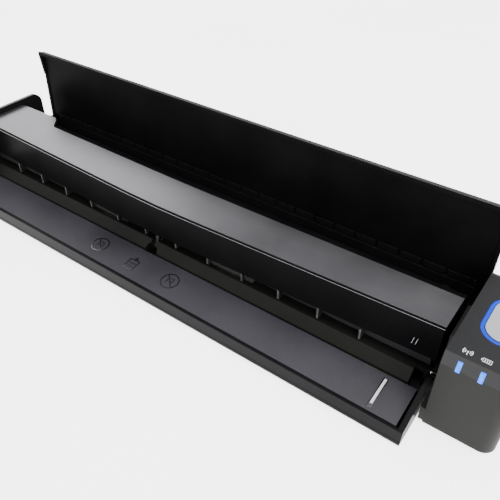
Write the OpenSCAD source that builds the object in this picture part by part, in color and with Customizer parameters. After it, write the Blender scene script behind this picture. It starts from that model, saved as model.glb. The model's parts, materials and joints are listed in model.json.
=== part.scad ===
// Slim sheet fed document scanner, shown open for use: the feeding guide is folded down in front
// and the output guide stands up behind the silver top cover.
// X runs along the paper width, Y from the front (-) to the rear (+), Z up from the desk.
// The origin is on the desk, under the middle of the closed scanner.

/* [Body] */
// Overall width, end cap to control block
overall_w = 273; // [262:1:330]
// Depth of the closed body
body_d = 47.5; // [46.5:0.5:57]
// Height of the closed body above the desk
body_h = 36; // [35.5:0.5:43.5]
// Width of the control block at the right end
control_w = 23.4; // [22.5:0.1:28]
// Thickness of the left end cap
end_cap_t = 2.8; // [2.4:0.1:3.4]
// Gap between the desk and the housings
desk_gap = 0.8; // [0.6:0.1:1.2]
// Wall of the control block
housing_wall = 1.6; // [1.2:0.1:2]
// Floor thickness of the bottom cover
floor_t = 1.6; // [1.2:0.1:1.8]
// Height of the line between control housing and control top
bevel_z = 31.1; // [30:0.1:32]
// How far the band above that line leans back
bevel_lean = 1.3; // [0.8:0.1:2]
// Radius of the rear top edge
rear_round = 5; // [3:0.5:6]
// Radius of the control block's upright corners
corner_r = 4.7; // [3:0.1:6]
// Height of the low wall at the rear of the bottom cover
rear_wall_h = 9.3; // [8:0.1:9.6]

/* [Paper path] */
// Middle of the paper path, along X
path_x = -12; // [-14:1:-10]
// Height of the paper above the desk
paper_z = 13; // [12.8:0.1:13.4]
// Feed roller's place, from front to rear
feed_y = -8.4; // [-8.6:0.1:-8.2]
// Eject roller's place, from front to rear
eject_y = 8.6; // [8.4:0.1:8.7]
// Radius of the driven rollers
roller_r = 4; // [3.3:0.1:4.1]
// Length of each driven roller
roller_len = 22; // [16:1:28]
// Distance of each roller from the middle of the path
roller_x = 35; // [33:1:45]
// Radius of the driven shafts
shaft_r = 2; // [1.6:0.1:2.2]
// Radius of the pinch rollers
pinch_r = 3; // [2.6:0.1:3]
// Length of each pinch roller
pinch_len = 16; // [10:1:20]
// Radius of the pinch roller shafts
pinch_shaft_r = 1.25; // [1:0.05:1.25]
// Length of the scanned line
scan_w = 216; // [210:1:218]
// Number of guide ribs on the entry lip
rib_count = 12; // [8:1:16]
// Distance between guide ribs
rib_pitch = 17.4; // [12:0.1:18]

/* [Feeding guide] */
// Hinge line of the feeding guide, behind the front face
door_axis_back = 8.95; // [8.6:0.05:9.2]
// Height of that hinge line
door_axis_z = 9.5; // [9.3:0.1:9.7]
// Reach of the feeding guide from its hinge line
door_reach = 22; // [18:0.5:22.4]
// Thickness of its outer shell
door_shell_t = 1.4; // [1:0.1:1.6]
// Thickness of its end walls
door_wall_t = 2; // [1.6:0.1:2.2]
// Thickness of the inner plate
door_plate_t = 1.4; // [1:0.1:1.6]

/* [Output guide] */
// Hinge line shared by output guide and top cover, from front to rear
cover_axis_y = 14; // [13.8:0.1:14.2]
// Height of that hinge line
cover_axis_z = 20; // [19.8:0.1:20.4]
// Angle that the output guide is opened by
lid_open = 93; // [90:1:95]
// Thickness of the output guide
lid_t = 1.6; // [1.2:0.1:1.8]
// Depth of the front lip of the output guide
lid_lip = 3.9; // [3:0.1:4.2]
// Radius of the cover hinge pins
cover_pin_r = 1.5; // [1.2:0.1:1.7]
// Thickness of the liner inside the output guide
liner_t = 0.6; // [0.4:0.1:0.6]

/* [Top cover] */
// Height of the silver top panel's upper face
panel_z = 33.4; // [33:0.1:33.6]
// Thickness of the silver top panel
panel_t = 1.2; // [0.8:0.1:1.4]
// Foremost line of the panel at its middle
bow_y = -15.4; // [-15.5:0.1:-14.5]
// How fast the panel's front edge draws back towards its ends
bow_slope = 0.039; // [0.02:0.001:0.042]
// Rear line of the panel at its middle
panel_rear_y = 3.7; // [3:0.1:4.5]
// Width of the tab at the rear left of the panel
tab_w = 26; // [20:1:34]
// Lower edge of the front fascia
fascia_z = 18.3; // [18:0.1:19]

/* [Controls] */
// Length of the scan button, ring included
button_len = 22.6; // [18:0.1:24]
// Width of the scan button, ring included
button_w = 13.8; // [10:0.1:14.4]
// Width of the lit ring around the button
ring_w = 1.4; // [1:0.1:1.8]
// Travel of the scan button
button_travel = 0.5; // [0.3:0.1:0.6]
// Distance between the two indicator lamps
lamp_pitch = 6.9; // [6:0.1:9]
// Width of an indicator lamp
lamp_w = 1.6; // [1.4:0.1:3]
// Travel of the wireless switch
switch_travel = 2.5; // [2:0.1:3]
// Radius of the setup button
setup_r = 1.7; // [1.4:0.1:2]

/* [Drive] */
// Tooth module of the gears
gear_m = 0.5; // [0.4:0.02:0.5]
// Teeth on the feed and eject gears
gear_teeth = 20; // [16:2:20]
// Teeth on the motor pinion
pinion_teeth = 10; // [8:1:10]
// Face width of the gears
gear_w = 3; // [2:0.1:3.4]
// Radius of the motor
motor_r = 6.2; // [5:0.1:6.2]
// Length of the motor
motor_len = 12; // [9:0.5:12.5]

/* [Clearances] */
// Running clearance of a shaft in its bore
run_gap = 0.04; // [0.02:0.01:0.08]
// Gap between covers that move past each other
cover_gap = 0.5; // [0.4:0.05:0.6]
// Gap around a button in its frame
button_gap = 0.15; // [0.1:0.01:0.25]
// Gap between two pieces of the drive that pass each other
part_gap = 0.3; // [0.3:0.05:0.4]

/* [Hidden] */
$fn = 64;

// Ends and faces of the body
left_x = -overall_w / 2;
right_x = overall_w / 2;
front_y = -body_d / 2;
rear_y = body_d / 2;
cap_in_x = left_x + end_cap_t;
block_x = right_x - control_w;
inner_right_x = right_x - housing_wall;
floor_z = desk_gap + floor_t;
top_in_z = body_h - housing_wall;

// Hinge lines
door_y = front_y + door_axis_back;
door_z = door_axis_z;
cover_pin_in = 4.2;

// Feeding guide, as it lies open
door_x0 = cap_in_x + cover_gap;
side_wall_t = 1.8;
side_wall_x = block_x - side_wall_t;
door_x1 = side_wall_x - 0.4;
door_low_z = door_z - door_axis_back + 0.05;
door_front_y = door_y - door_reach;
door_heel = 8.5;
door_end_h = 6.2;
door_boss_r = 2.9;
door_pin_r = 1.2;
plate_gap = 1.1;
plate_front_z = door_low_z + door_end_h - 0.4;
plate_rear_z = plate_front_z + 1.3;
door_rim_t = 1.8;
plate_front_y = door_front_y + door_rim_t + 0.5;
plate_rear_y = door_y - 3.1;
mark_w = 0.9;
mark_border = 0.45;
mark_tail = 1.6;
mark_depth = 0.7;

// Frame between the end cap and the control block
frame_x0 = door_x0 + door_wall_t + part_gap;
frame_x1 = door_x1 - door_wall_t - 0.4;
end_wall_t = 1.5;
lip_r = paper_z - 0.4 - door_z;
guide_top_z = door_z + lip_r;
guide_t = 1.4;
frame_rear_y = 14.4;
frame_wall = 1.2;
front_zone_y = -4.3;
floor_lip = 1.2;
raised_z = door_low_z + 2;
raised_t = 1.2;
raised_front_y = door_y - 0.7;
deck_t = 1.2;
lip_x0 = frame_x0 + 2;
lip_x1 = path_x + 116;
rib_w = 1;
rib_h = 0.4;
entry_rib_y = -14;
entry_rib_z = paper_z + 0.1;
axle_z = paper_z - roller_r;
bush_r = shaft_r + 1;
shaft_gap = 0.15;
window_half = 3.8;
platen_y = [-3.5, 3.7];
platen_z = guide_top_z - 0.6;
platen_t = 0.9;

// Top cover
cover_x0 = door_x0;
cover_x1 = block_x - 3.5;
bow_x = -14;
bow_soft = 12;
ridge = 1.2;
ridge_gap = 0.7;
ridge_rise = 0.7;
fascia_t = 1.6;
panel_low_z = panel_z - panel_t;
deck_low_z = panel_low_z - 1.1;
guide_plate_z = paper_z + 0.8;
guide_plate_top = guide_plate_z + 1.2;
rear_face_y = 13.5;
rear_face_t = 1.4;
nose_r = 8;
nose_z = panel_low_z - nose_r;
tab_y = cover_axis_y - 2.3;
tab_round = 2;
tab_run = 8.5;
arm_t = 1.5;
arm_r = 3;
arm_gap = 0.4;
sensor_half = scan_w / 2 + 2;
sensor_x0 = path_x - sensor_half;
sensor_x1 = path_x + sensor_half;
sensor_y = [-4.9, 5.1];
sensor_h = 11;
glass_y = [-3.9, 4.1];
glass_gap = 0.2;
glass_lift = 0.1;
pinch_z = paper_z + part_gap + pinch_r;
pinch_ear_x = 20;
pinch_ear_t = 2;
spring_t = 0.4;

// Output guide, drawn closed and turned open
lid_x0 = door_x0;
lid_x1 = block_x - 0.8;
lid_wall_t = 1.4;
lid_rear_z = cover_axis_z + 1.5;
lid_lip_z = body_h - lid_lip;
lid_in_z = body_h - lid_t;
lid_step_y = -11.4;
tooth_pitch = 9.75;
tooth_gap = 0.9;
comb_y = [9.6, 12.6];

// Control block
button_x = (block_x + right_x) / 2;
button_y = -0.4;
button_span = button_len - button_w;
button_top = body_h + 0.25;
lamp_x = button_x - 6.4;
lamp_low_z = bevel_z - 0.9;
lamp_high_z = bevel_z + 3.3;
lamp_depth = 2.2;
board_t = 1.2;
tact_h = 1.6;
ring_flange = 0.7;
post_r = 2.6;
post_top_z = 14;
post_x = inner_right_x - post_r + 0.5;
post_y = rear_y - housing_wall - post_r + 0.5;
rear_board_y = 17;
port_x = block_x + 8.9;
port_z = 7;
switch_z = 17;
setup_z = 25;
main_board_y = [-16, 16];
main_board_z = [4, 28];
wireless_y = [-15.5, -6.6];
wireless_z = [15, 27];
wireless_t = 1.2;
interface_board_z = [3.6, 28];
battery_y = [-16.4, 12];
battery_h = 9.6;
battery_gap = 0.8;
socket_w = 7.5;
socket_h = 2.6;
socket_wall = 0.35;
socket_gap = 0.25;
switch_body = [8, 2.4, 3.6];
knob_w = 3;
knob_h = 2.2;
knob_gap = 0.2;
knob_reach = (knob_w + switch_travel) / 2;
setup_body = [4, 1.8, 4];
setup_head = 0.6;
setup_travel = 0.5;

// Drive train
pitch_r = gear_m * gear_teeth / 2;
pinion_r = gear_m * pinion_teeth / 2;
idler_y = (feed_y + eject_y) / 2;
idler_run = (eject_y - feed_y) / 2;
// the idler has enough teeth to reach both shafts
idler_teeth = max(gear_teeth, ceil(2 * (idler_run + 1.5) / gear_m) - gear_teeth);
idler_r = gear_m * idler_teeth / 2;
idler_rise = sqrt(pow(pitch_r + idler_r, 2) - pow(idler_run, 2));
idler_z = axle_z + idler_rise;
motor_z = idler_z + idler_r + pinion_r;
button_board_z = max(28.5, motor_z + motor_r + part_gap);
button_board_top = button_board_z + board_t;
gear_x = block_x + housing_wall + 0.9;
plate_x = gear_x + gear_w + 0.6;
plate_t = 1;
shaft_end_x = plate_x + 0.7;
stud_r = 1.2;
motor_shaft_r = 1;
idler_phase = 0;
feed_phase = mesh_phase(atan2(-idler_rise, feed_y - idler_y), idler_phase, idler_teeth, gear_teeth);
eject_phase = mesh_phase(atan2(-idler_rise, eject_y - idler_y), idler_phase, idler_teeth, gear_teeth);
pinion_phase = mesh_phase(90, idler_phase, idler_teeth, pinion_teeth);

// Paper sensor
lever_x = -16;
lever_y = -13.2;
lever_z = 8.6;
lever_r = 1.2;
lever_pin_r = 0.6;
lever_tip_z = paper_z + 1;

// Fixings
foot_r = 4;
foot_x = [left_x + 14.5, block_x - 13.1];
foot_y = [0, 10];
mid_foot = [30, 6];
foot_seat = 0.6;
screw_r = 1;
head_r = 1.9;
head_h = 1;
screw_x = [left_x + 16.5, path_x - 33, path_x + 47, block_x - 15.1];
screw_y = 18.3;

// Front line of the top cover, drawn back towards both ends
function bow(x, y0, slope) = y0 + slope * (sqrt(pow(x - bow_x, 2) + pow(bow_soft, 2)) - bow_soft);
function bow_line(y0, slope, x0, x1, n = 16) =
    [for (i = [0:n]) let (x = x0 + (x1 - x0) * i / n) [x, bow(x, y0, slope)]];
function reversed(list) = [for (i = [len(list) - 1:-1:0]) list[i]];

// Phase of the second of two meshed gears, where theta is the direction from the first to the second
function mesh_phase(theta, phase, n1, n2) =
    theta + 180 - n1 / n2 * (phase - theta) - 180 / n2;
function polar(r, a) = [r * cos(a), r * sin(a)];

// A block between two corners, given as [from, to] along each axis
module block(x, y, z) {
    translate([x[0], y[0], z[0]]) cube([x[1] - x[0], y[1] - y[0], z[1] - z[0]]);
}

// A Y-Z outline, carried along X from x0 to x1
module along_x(x0, x1) {
    translate([x0, 0, 0]) rotate([90, 0, 90]) linear_extrude(x1 - x0) children();
}

// A rectangle between two corners of an outline
module area(a, b) {
    translate([a[0], b[0]]) square([a[1] - a[0], b[1] - b[0]]);
}

// A round rod along X
module rod(x0, x1, r, y, z) {
    translate([x0, y, z]) rotate([0, 90, 0]) cylinder(h = x1 - x0, r = r);
}

// A round post along Z
module post(x, y, z0, z1, r) {
    translate([x, y, z0]) cylinder(h = z1 - z0, r = r);
}

// A ring along X
module ring(x0, x1, r_out, r_in, y, z) {
    difference() {
        rod(x0, x1, r_out, y, z);
        rod(x0 - 1, x1 + 1, r_in, y, z);
    }
}

// Side outline of the closed body, drawn in by inset
module body_outline(inset = 0) {
    low = desk_gap;
    polygon([
        [front_y + inset, low], [front_y + inset, bevel_z],
        [front_y + bevel_lean + inset, body_h - inset], [rear_y - rear_round, body_h - inset],
        [rear_y - rear_round, body_h - rear_round], [rear_y - inset, body_h - rear_round],
        [rear_y - inset, low]]);
    translate([rear_y - rear_round, body_h - rear_round]) circle(rear_round - inset);
}

// Plan of the control block, drawn in by inset
module block_plan(inset = 0) {
    r = corner_r - inset;
    area([block_x + inset, right_x - corner_r], [front_y + inset, rear_y - inset]);
    area([block_x + inset, right_x - inset], [front_y + corner_r, rear_y - corner_r]);
    for (y = [front_y + corner_r, rear_y - corner_r]) translate([right_x - corner_r, y]) circle(r);
}

// The control block as one solid, drawn in by inset, between two heights
module block_solid(inset, z0, z1) {
    intersection() {
        along_x(block_x - 1, right_x + 1) body_outline(inset);
        translate([0, 0, z0]) linear_extrude(z1 - z0) block_plan(inset);
    }
}

// The upright part of the control block, drawn in by inset, between two heights
module upright_block(inset, z0, z1) {
    translate([0, 0, z0]) linear_extrude(z1 - z0) block_plan(inset);
}

// A stadium outline of the button, drawn in by inset
module stadium(inset = 0) {
    r = button_w / 2 - inset;
    for (y = [-1, 1]) translate([button_x, button_y + y * button_span / 2]) circle(r);
    area([button_x - r, button_x + r], [button_y - button_span / 2, button_y + button_span / 2]);
}

module stadium_solid(inset, z0, z1) {
    translate([0, 0, z0]) linear_extrude(z1 - z0) stadium(inset);
}

// One indicator lamp, wrapped over the edge of the front face
module lamp(x) {
    intersection() {
        along_x(x - lamp_w / 2, x + lamp_w / 2) difference() {
            body_outline();
            body_outline(lamp_depth);
        }
        block([x - lamp_w, x + lamp_w], [front_y - 1, front_y + 6], [lamp_low_z, lamp_high_z]);
    }
}

module lamps() {
    for (i = [0, 1]) lamp(lamp_x + i * lamp_pitch);
}

// Places of the driven rollers along X
module at_rollers(length) {
    for (side = [-1, 1]) {
        x = path_x + side * roller_x;
        translate([x - length / 2, 0, 0]) children();
    }
}

// A spur gear with trapezoid teeth, its face from x0 along X
module spur(x0, teeth, phase, bore_r, y, z) {
    rp = gear_m * teeth / 2;
    step = 360 / teeth;
    points = [for (i = [0:teeth - 1]) let (a = phase + i * step) each [
        polar(rp - 1.2 * gear_m, a - 0.29 * step), polar(rp + 0.75 * gear_m, a - 0.1 * step),
        polar(rp + 0.75 * gear_m, a + 0.1 * step), polar(rp - 1.2 * gear_m, a + 0.29 * step)]];
    translate([x0, y, z]) rotate([90, 0, 90]) linear_extrude(gear_w) difference() {
        polygon(points);
        circle(bore_r);
    }
}

// ---- Base ----

module bottom_cover() {
    color("#1c1d1f") difference() {
        union() {
            // floor and rear wall behind the feeding guide's heel
            block([cap_in_x, block_x], [front_zone_y - floor_lip, rear_y], [desk_gap, floor_z]);
            block([cap_in_x, block_x], [rear_y - housing_wall, rear_y], [desk_gap, rear_wall_h]);
            block([block_x, inner_right_x], [front_y + housing_wall, rear_y - housing_wall],
                [desk_gap, floor_z]);
            // raised floor above the open feeding guide
            block([frame_x0, frame_x1], [front_zone_y - floor_lip, front_zone_y],
                [desk_gap, raised_z + raised_t]);
            block([frame_x0, frame_x1], [raised_front_y, front_zone_y],
                [raised_z, raised_z + raised_t]);
        }
        block_corner_cut();
        feet(desk_gap - 1, desk_gap + foot_seat, 0);
        for (x = screw_x) screw_hole(x, screw_y);
        for (y = [-post_y, post_y]) screw_hole(post_x, y);
    }
}

// Room for the rounded corners of the control housing
module block_corner_cut() {
    difference() {
        block([right_x - corner_r, right_x + 1], [front_y - 1, rear_y + 1], [desk_gap - 1, floor_z + 1]);
        translate([0, 0, desk_gap - 2]) linear_extrude(floor_t + 4) block_plan(housing_wall);
    }
}

module screw_hole(x, y) {
    post(x, y, desk_gap - 1, floor_z + 1, screw_r);
    post(x, y, desk_gap - 1, desk_gap + head_h, head_r);
}

// Foot pads: a bar in the middle and a round pad near each corner
module feet(z0, z1, grow) {
    half = mid_foot / 2;
    block([-half[0] - grow, half[0] + grow], [-half[1] - grow, half[1] + grow], [z0, z1]);
    for (x = foot_x, y = foot_y) post(x, y, z0, z1, foot_r + grow);
    post(button_x, front_y + 7, z0, z1, foot_r + grow);
}

module rubber_feet() {
    color("#2b2b2b") feet(0, desk_gap + foot_seat, 0);
}

module bottom_screws() {
    color("#8d8f92") {
        for (x = screw_x) bottom_screw(x, screw_y, rear_wall_h - 2.6);
        for (y = [-post_y, post_y]) bottom_screw(post_x, y, rear_wall_h + 2);
    }
}

// A countersunk screw with a cross slot
module bottom_screw(x, y, tip_z) {
    difference() {
        union() {
            post(x, y, desk_gap + 0.2, desk_gap + head_h, head_r);
            post(x, y, desk_gap + head_h, tip_z, screw_r);
        }
        for (a = [0, 90]) translate([x, y, desk_gap]) rotate(a) cube([2.4, 0.5, 1], center = true);
    }
}

// Side outline of the frame's front lip, which slopes down over the hinge line of the feeding guide
module lip_outline() {
    foot_z = door_z - lip_r;
    polygon([
        [door_y - 2.9, foot_z], [door_y - 2.9, door_z - 0.9], [door_y + 0.4, guide_top_z],
        [door_y + 1.9, guide_top_z], [door_y + 1.9, foot_z]]);
    area([door_y + 1, 0], [guide_top_z - guide_t, guide_top_z]);
    area([raised_front_y, raised_front_y + frame_wall], [raised_z + raised_t, foot_z + 1]);
}

module lower_frame() {
    color("#212224") difference() {
        union() {
            along_x(lip_x0, lip_x1) lip_outline();
            // the lip is left out at both ends, beside the feeding guide's hinges
            for (x = [[lip_x1, frame_x1], [frame_x0, lip_x0]])
                block(x, [raised_front_y + 3, 0], [guide_top_z - guide_t, guide_top_z]);
            // bridge over the shafts beside the control block
            block([frame_x1, block_x], [-11, 0], [guide_top_z - guide_t, guide_top_z]);
            // paper guide
            block([frame_x0, frame_x1], [front_zone_y, frame_rear_y], [guide_top_z - guide_t, guide_top_z]);
            block([cap_in_x, block_x], [front_zone_y, frame_rear_y], [guide_top_z - guide_t, guide_top_z]);
            // rear wall and rear deck
            block([cap_in_x, block_x], [frame_rear_y - frame_wall, frame_rear_y], [floor_z, guide_top_z]);
            block([cap_in_x, block_x], [frame_rear_y - frame_wall, rear_y - housing_wall],
                [rear_wall_h - deck_t, rear_wall_h]);
            // walls that carry the shafts
            for (x = [frame_x0, frame_x1 - end_wall_t]) shaft_wall(x, x + end_wall_t);
            // wall beside the control block
            along_x(side_wall_x, block_x) side_wall_outline();
            lever_ears();
            for (x = screw_x) post(x, screw_y, floor_z, rear_wall_h, 2.5);
            guide_ribs();
        }
        // roller windows
        for (y = [feed_y, eject_y]) at_rollers(roller_len + 2)
            block([0, roller_len + 2], [y - window_half, y + window_half], [guide_top_z - 3, guide_top_z + 3]);
        // seat of the white platen
        block([sensor_x0, sensor_x1], platen_y, [platen_z, guide_top_z + 1]);
        // bores for the bushes, and clear holes beside the control block
        for (y = [feed_y, eject_y]) {
            rod(frame_x0, frame_x1, shaft_r + shaft_gap, y, axle_z);
            rod(frame_x0 - 1, frame_x0 + end_wall_t + 0.5, bush_r, y, axle_z);
            rod(frame_x1 - end_wall_t - 0.5, frame_x1 + 1, bush_r, y, axle_z);
            rod(frame_x1 + 1, block_x + 1, shaft_r + 0.6, y, axle_z);
        }
        rod(side_wall_x - 1, block_x + 1, door_pin_r, door_y, door_z);
        lever_room();
        for (x = screw_x) post(x, screw_y, floor_z - 1, rear_wall_h - 2.6, screw_r);
    }
}

module shaft_wall(x0, x1) {
    block([x0, x1], [raised_front_y + 3, front_zone_y], [raised_z + raised_t, guide_top_z - guide_t]);
    block([x0, x1], [front_zone_y, frame_rear_y], [floor_z, guide_top_z - guide_t]);
}

// Wall beside the control block: low at the front, where the feeding guide turns
module side_wall_outline() {
    polygon([
        [front_y + 0.6, desk_gap], [front_y + 0.6, 7], [door_y - 3.4, guide_top_z],
        [-11.5, guide_top_z], [-10.5, panel_low_z - 1.6], [6, panel_low_z - 1.6], [8, guide_top_z],
        [front_zone_y, guide_top_z], [front_zone_y, floor_z], [front_zone_y - floor_lip, floor_z],
        [front_zone_y - floor_lip, desk_gap]]);
}

function rib_x(i) = path_x - 1 + (i - (rib_count - 1) / 2) * rib_pitch;

// Low ribs behind the eject roller
module guide_ribs() {
    for (i = [0:rib_count - 1]) {
        x = rib_x(i);
        block([x - rib_w / 2, x + rib_w / 2], [eject_y + window_half, frame_rear_y],
            [guide_top_z - 0.2, guide_top_z + rib_h]);
    }
}

module lever_ears() {
    for (side = [-1, 1]) translate([lever_x + side * 2.9 - 0.5, 0, 0])
        block([0, 1], [lever_y - 1.1, lever_y + 1.1], [lever_z - 1.2, guide_top_z - guide_t]);
}

// Opening for the paper sensor lever, with an arch through the lip
module lever_room() {
    slot_z = raised_z + raised_t + 1;
    block([lever_x - 1.6, lever_x + 1.6], [door_y - 0.4, feed_y + 1], [slot_z, guide_top_z + 2]);
    rod(lever_x - 6, lever_x + 6, lever_pin_r, lever_y, lever_z);
    translate([lever_x, door_y + 0.2, door_z - 1]) rotate([90, 0, 0]) cylinder(h = 6, r = 3.2);
    block([lever_x - 3.2, lever_x + 3.2], [door_y - 5, door_y + 0.2], [door_z - 4, door_z - 1]);
}

module platen() {
    color("#e8e8e4") block([sensor_x0, sensor_x1], platen_y, [platen_z, platen_z + platen_t]);
}

module roller_bushes() {
    color("#c9a24b") for (y = [feed_y, eject_y], x = [frame_x0, frame_x1 - end_wall_t])
        ring(x, x + end_wall_t, bush_r, shaft_r + run_gap, y, axle_z);
}

module left_end_cap() {
    color("#18191a") difference() {
        union() {
            along_x(left_x + 1, cap_in_x) body_outline();
            along_x(left_x, left_x + 1) body_outline(0.5);
        }
        rod(cap_in_x - 1.6, cap_in_x + 1, cover_pin_r, cover_axis_y, cover_axis_z);
        rod(cap_in_x - 1.6, cap_in_x + 1, door_pin_r, door_y, door_z);
    }
}

module cover_pins() {
    color("#b9bcc0") {
        rod(cap_in_x - 1.6, cap_in_x + cover_pin_in, cover_pin_r, cover_axis_y, cover_axis_z);
        rod(block_x - cover_pin_in, block_x + housing_wall, cover_pin_r, cover_axis_y, cover_axis_z);
    }
}

module door_pins() {
    color("#b9bcc0") {
        rod(cap_in_x - 1.6, door_x0 + door_wall_t, door_pin_r, door_y, door_z);
        rod(door_x1 - door_wall_t, block_x, door_pin_r, door_y, door_z);
    }
}

// ---- Control block ----

module control_housing() {
    color("#4a4b47") difference() {
        upright_block(0, desk_gap, bevel_z);
        difference() {
            upright_block(housing_wall, desk_gap - 1, body_h);
            for (y = [-post_y, post_y]) post(post_x, y, floor_z, post_top_z, post_r);
        }
        // the bottom cover's floor passes under the left wall
        block([block_x - 1, block_x + housing_wall + 1],
            [front_y + housing_wall, rear_y - housing_wall], [desk_gap - 1, floor_z]);
        for (y = [-post_y, post_y]) {
            post(post_x, y, floor_z - 1, rear_wall_h + 2, screw_r);
            post(post_x, y, desk_gap - 1, floor_z, post_r + 0.5);
        }
        lamps();
        for (y = [feed_y, eject_y]) rod(block_x - 1, block_x + 3, shaft_r + 0.6, y, axle_z);
        rod(block_x - 1, block_x + 3, cover_pin_r, cover_axis_y, cover_axis_z);
        // port, switch slot and setup button hole in the rear wall
        socket_room(socket_gap, rear_y - 3, rear_y + 1);
        block([port_x - knob_reach - part_gap, port_x + knob_reach + part_gap], [rear_y - 3, rear_y + 1],
            [switch_z - knob_h / 2 - knob_gap, switch_z + knob_h / 2 + knob_gap]);
        translate([port_x, rear_y - 3, setup_z]) rotate([-90, 0, 0])
            cylinder(h = 5, r = setup_r + button_gap);
    }
}

module control_top() {
    color("#37383a") difference() {
        union() {
            difference() {
                block_solid(0, bevel_z, body_h);
                block_solid(housing_wall, bevel_z - 1, body_h);
            }
            for (p = [[-1, -16], [1, -16], [1, 10.6]])
                post(button_x + p[0] * 7.6, p[1], button_board_top, top_in_z + 0.4, 1.3);
        }
        lamps();
        stadium_solid(0, bevel_z, body_h + 1);
    }
}

module button_ring() {
    color("#2f6fe0") difference() {
        union() {
            stadium_solid(0, top_in_z, body_h + 0.1);
            stadium_solid(-ring_flange, top_in_z - 1, top_in_z);
        }
        stadium_solid(ring_w, top_in_z - 2, body_h + 1);
    }
}

module scan_button() {
    low = top_in_z - 1 - 0.2;
    color("#c3c5c9") {
        stadium_solid(ring_w + button_gap, low, button_top);
        stadium_solid(ring_w - 0.9, low - 0.6, low);
        post(button_x, button_y, button_board_top + tact_h + button_travel + 0.05, low - 0.3, 1.5);
    }
}

module light_pipes() {
    color("#6db4ff") lamps();
}

module button_board() {
    color("#1f5a35") block([button_x - 9.2, button_x + 8.8], [front_y + 3.4, 12],
        [button_board_z, button_board_top]);
}

module tact_switch() {
    color("#111111") {
        translate([button_x - 2.5, button_y - 2.5, button_board_top]) cube([5, 5, tact_h - 0.4]);
        post(button_x, button_y, button_board_top, button_board_top + tact_h, 1.2);
    }
}

module main_board() {
    color("#1f5a35") block([inner_right_x - board_t, inner_right_x], main_board_y, main_board_z);
}

module wireless_module() {
    x = inner_right_x - board_t;
    color("#b4b6b9") block([x - wireless_t, x], wireless_y, wireless_z);
}

module interface_board() {
    color("#1f5a35") block([block_x + housing_wall, post_x - post_r - 0.3],
        [rear_board_y, rear_board_y + board_t], interface_board_z);
}

// A block around the port, grown beyond the socket's shell
module socket_room(grow, y0, y1) {
    half = socket_w / 2 + grow;
    rise = socket_h / 2 + grow;
    block([port_x - half, port_x + half], [y0, y1], [port_z - rise, port_z + rise]);
}

module usb_socket() {
    y0 = rear_board_y + board_t;
    color("#a9acb0") difference() {
        socket_room(0, y0, rear_y - 0.2);
        socket_room(-socket_wall, y0 + 1, rear_y + 1);
    }
    color("#202020") block([port_x - 2.6, port_x + 2.6], [y0 + 1, rear_y - 1],
        [port_z - socket_h / 2 + socket_wall, port_z - 0.3]);
}

module slide_switch() {
    y0 = rear_board_y + board_t;
    color("#2a2a2a") translate([port_x - switch_body[0] / 2, y0, switch_z - switch_body[2] / 2])
        cube(switch_body);
}

module wifi_switch() {
    y0 = rear_board_y + board_t + switch_body[1];
    x0 = port_x - knob_reach;
    z = [switch_z - knob_h / 2, switch_z + knob_h / 2];
    color("#d8d9db") {
        block([x0, x0 + knob_w], [y0 + 0.05, rear_y + 0.7], z);
        for (i = [0:2]) block([x0 + 0.3 + i * 0.95, x0 + 0.8 + i * 0.95], [rear_y, rear_y + 0.9], z);
    }
}

module setup_switch() {
    y0 = rear_board_y + board_t;
    color("#2a2a2a") translate([port_x - setup_body[0] / 2, y0, setup_z - setup_body[2] / 2])
        cube(setup_body);
}

module setup_button() {
    y0 = rear_board_y + board_t + setup_body[1] + setup_travel;
    color("#d8d9db") translate([port_x, y0, setup_z]) rotate([-90, 0, 0]) {
        cylinder(h = rear_y + 0.3 - y0, r = setup_r);
        cylinder(h = setup_head, r = setup_r + 0.8);
    }
}

module battery_pack() {
    color("#3d63a8") block([plate_x + plate_t + battery_gap, inner_right_x - board_t - part_gap],
        battery_y, [floor_z, floor_z + battery_h]);
}

// ---- Drive ----

module drive_motor() {
    x0 = plate_x + plate_t;
    color("#9a9da1") difference() {
        rod(x0, x0 + motor_len, motor_r, idler_y, motor_z);
        rod(x0 - 1, x0 + 7, motor_shaft_r + run_gap, idler_y, motor_z);
    }
}

module motor_shaft() {
    color("#d0d2d5") rod(gear_x - 0.2, plate_x + plate_t + 6.5, motor_shaft_r, idler_y, motor_z);
}

module motor_pinion() {
    color("#e3e0d5") spur(gear_x, pinion_teeth, pinion_phase, motor_shaft_r, idler_y, motor_z);
}

module gear_plate() {
    color("#8f9296") difference() {
        union() {
            block([plate_x, plate_x + plate_t], [feed_y - 4, eject_y + 4], [floor_z + 1.2, motor_z + 5.6]);
            for (p = [[-10.4, 5], [10.4, 5]]) rod(block_x + housing_wall, plate_x, 1.6,
                idler_y + p[0], motor_z + p[1] - 1.4);
            rod(block_x + housing_wall, plate_x, 1.5, idler_y, floor_z + 3);
        }
        for (y = [feed_y, eject_y]) rod(plate_x - 1, plate_x + 2, shaft_r + run_gap, y, axle_z);
        rod(plate_x - 1, plate_x + 2, stud_r, idler_y, idler_z);
        rod(plate_x - 1, plate_x + 2, motor_shaft_r + 0.5, idler_y, motor_z);
    }
}

module idler_stud() {
    color("#d0d2d5") rod(gear_x - 0.3, plate_x + plate_t, stud_r, idler_y, idler_z);
}

module idler_gear() {
    color("#e3e0d5") spur(gear_x, idler_teeth, idler_phase, stud_r + run_gap, idler_y, idler_z);
}

module driven_shaft(y) {
    color("#c4c6c9") rod(frame_x0 + 0.2, shaft_end_x, shaft_r, y, axle_z);
}

module driven_rollers(y) {
    color("#3a3a3c") at_rollers(roller_len) ring(0, roller_len, roller_r, shaft_r, y, axle_z);
}

module feed_shaft() { driven_shaft(feed_y); }
module eject_shaft() { driven_shaft(eject_y); }
module feed_rollers() { driven_rollers(feed_y); }
module eject_rollers() { driven_rollers(eject_y); }

module feed_gear() {
    color("#e3e0d5") spur(gear_x, gear_teeth, feed_phase, shaft_r, feed_y, axle_z);
}

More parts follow.
